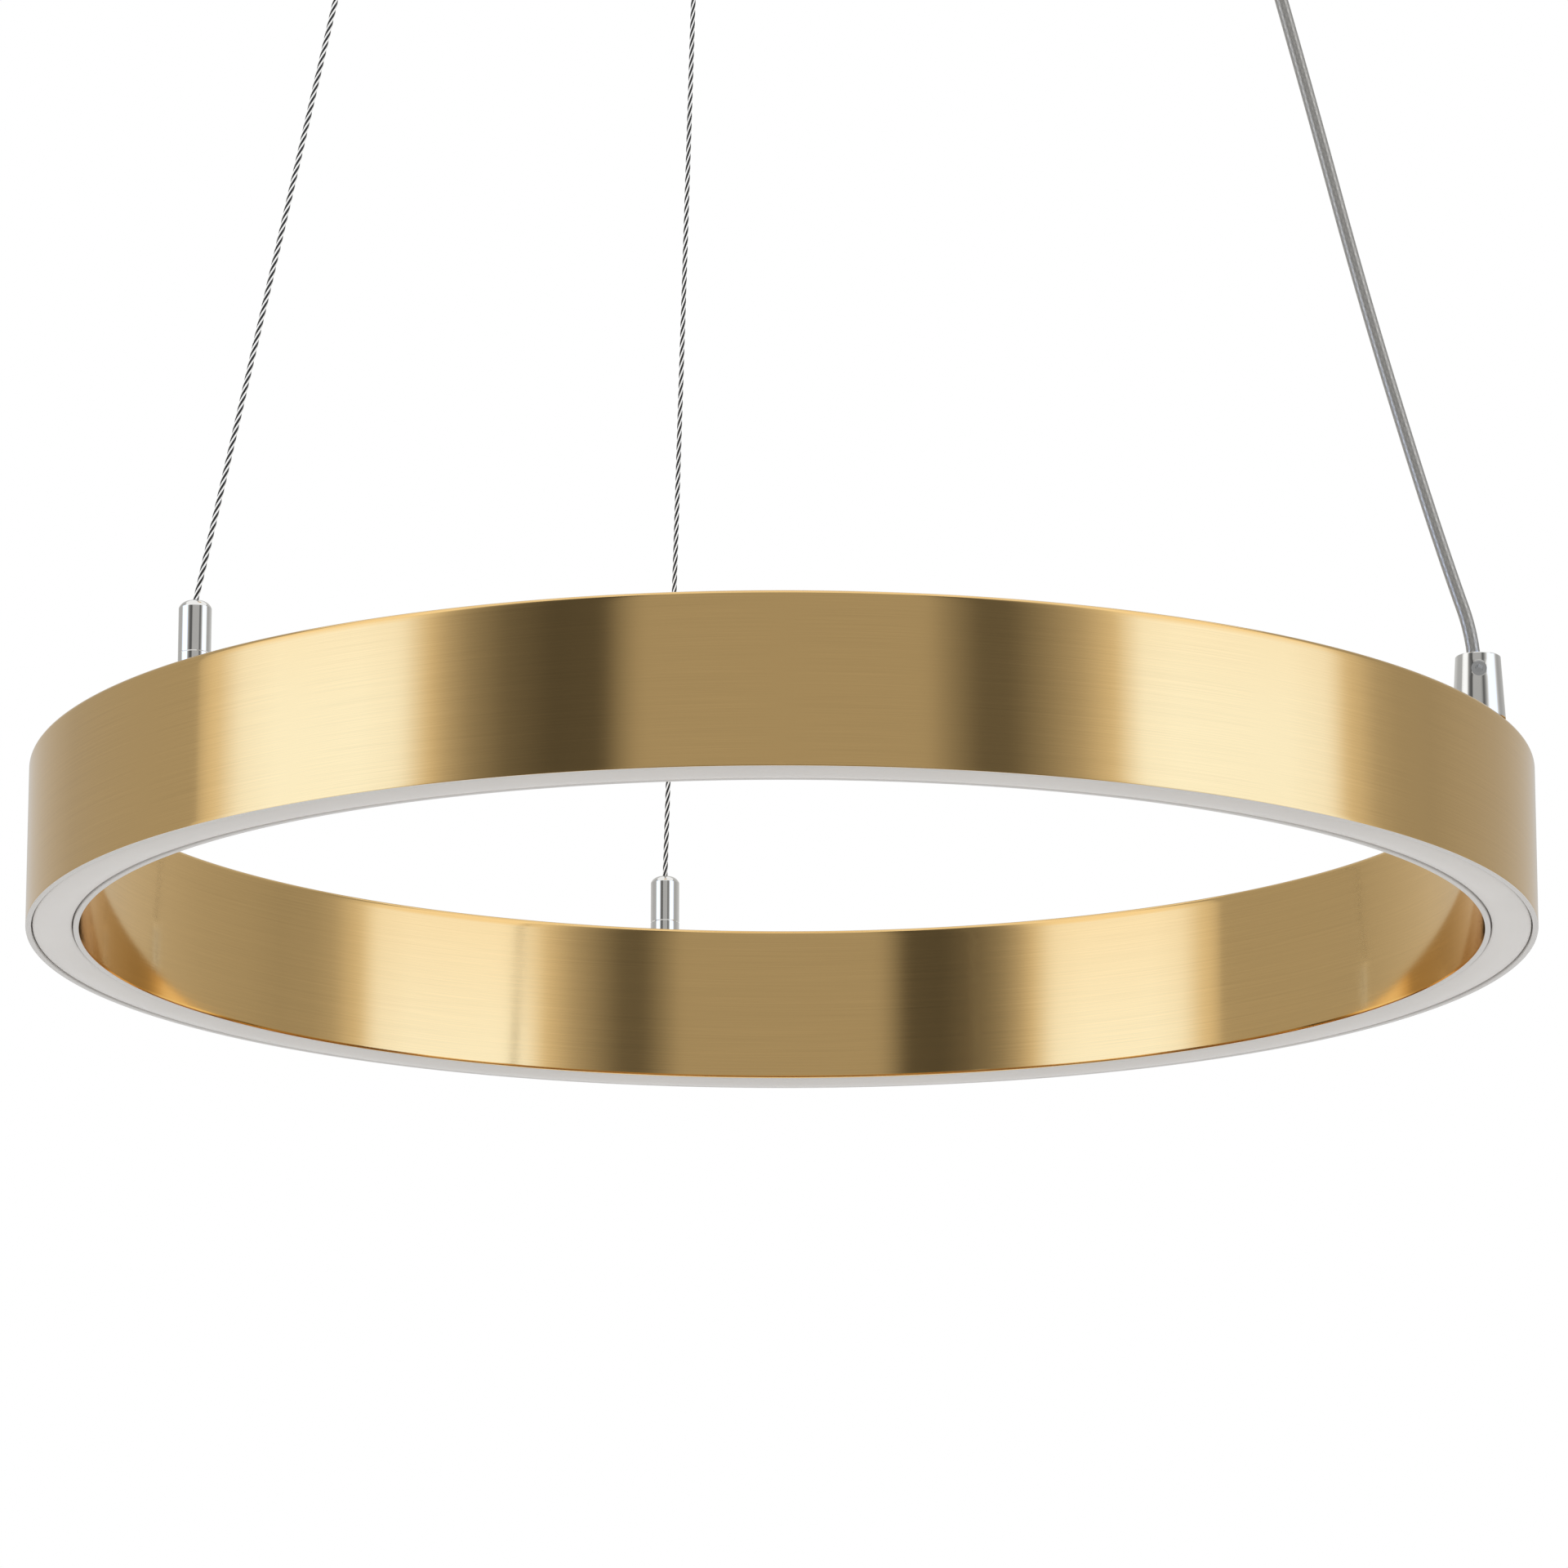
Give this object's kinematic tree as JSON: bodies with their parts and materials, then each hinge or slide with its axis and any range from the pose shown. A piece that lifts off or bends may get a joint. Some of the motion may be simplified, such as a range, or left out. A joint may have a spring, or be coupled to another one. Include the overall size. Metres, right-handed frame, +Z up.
{
  "type": "led ring chandelier",
  "caption": "Brushed brass hoop light with an opal diffuser in its lower edge, hung level on steel ropes and a power cord from a round ceiling canopy.",
  "frame": {"origin": "middle of the canopy bracket's upper face, on the ceiling", "axes": "+Z up into the ceiling, +X along the bracket, -Y towards the viewer"},
  "size_m": [0.4, 0.4, 0.6939],
  "materials": {
    "brushed_brass": "fine circumferential brushing",
    "opal_diffuser": "satin opal plastic",
    "polished_nickel": "polished nickel plating",
    "steel_rope": "bright twisted strands",
    "clear_cord": "clear jacket over a tinned braid",
    "zinc_steel": "zinc plated",
    "carrier_aluminium": "plain sheet",
    "strip_board": "white solder resist",
    "led_package": "phosphor in a white package",
    "resistor_black": "matt ceramic",
    "tinned_copper": "tinned and insulated wire",
    "white_nylon": "moulded nylon",
    "driver_housing": "moulded housing",
    "circuit_board": "green solder resist",
    "component_mix": "wound and moulded components",
    "lead_white": "insulated lead",
    "lead_green": "green and yellow insulated lead",
    "spring_steel": "plain spring wire"
  },
  "bodies": {
    "canopy": {"ceiling_bracket": "zinc_steel", "canopy_shell": "brushed_brass", "canopy_screws": "brushed_brass", "driver_case": "driver_housing", "driver_lid": "driver_housing", "driver_board": "circuit_board", "driver_parts": "component_mix", "driver_screws": "zinc_steel", "terminal_block": "white_nylon", "terminal_screws": "zinc_steel", "earth_screw": "zinc_steel", "supply_leads": "lead_white", "earth_lead": "lead_green", "output_leads": "lead_white", "output_connector": "white_nylon", "cord_tail_top": "clear_cord", "canopy_grip_body": "polished_nickel", "canopy_grip_screw": "zinc_steel", "canopy_grip_nut": "polished_nickel", "gripper_body_left": "polished_nickel", "gripper_body_rear": "polished_nickel", "gripper_nuts": "polished_nickel", "gripper_spring_left": "spring_steel", "gripper_spring_rear": "spring_steel", "rope_tails": "steel_rope", "rope_stops": "zinc_steel", "rope_left": "steel_rope", "rope_rear": "steel_rope", "power_cord": "clear_cord"},
    "ring": {"outer_band": "brushed_brass", "inner_band": "brushed_brass", "top_plate": "brushed_brass", "led_carrier": "carrier_aluminium", "carrier_posts": "zinc_steel", "carrier_screws": "zinc_steel", "led_strip": "strip_board", "led_chips": "led_package", "strip_resistors": "resistor_black", "diffuser": "opal_diffuser", "ledge_outer": "brushed_brass", "ledge_inner": "brushed_brass", "ferrule_cap_left": "polished_nickel", "ferrule_cap_rear": "polished_nickel", "ferrule_base_left": "polished_nickel", "ferrule_base_rear": "polished_nickel", "ferrule_nuts": "zinc_steel", "rope_end_left": "steel_rope", "rope_end_rear": "steel_rope", "ring_grip_body": "polished_nickel", "ring_grip_screw": "zinc_steel", "ring_grip_nut": "polished_nickel", "cord_tail_low": "clear_cord", "strip_connector": "white_nylon", "strip_leads": "tinned_copper"},
    "plunger_left": {"gripper_plunger_left": "polished_nickel", "gripper_balls_left": "spring_steel"},
    "plunger_rear": {"gripper_plunger_rear": "polished_nickel", "gripper_balls_rear": "spring_steel"}
  },
  "joints": [
    {"name": "height_adjust", "type": "slide", "parent": "canopy", "child": "ring", "axis": [0, 0, 1], "range_m": [0, 0.35], "deforming": ["rope_left", "rope_rear", "power_cord"]},
    {"name": "plunger_left", "type": "slide", "parent": "canopy", "child": "plunger_left", "axis": [0, 0, 1], "range_m": [0, 0.002], "stiffness_N_per_m": 600, "springref_m": -0.002, "deforming": ["gripper_spring_left"]},
    {"name": "plunger_rear", "type": "slide", "parent": "canopy", "child": "plunger_rear", "axis": [0, 0, 1], "range_m": [0, 0.002], "stiffness_N_per_m": 600, "springref_m": -0.002, "deforming": ["gripper_spring_rear"]}
  ]
}
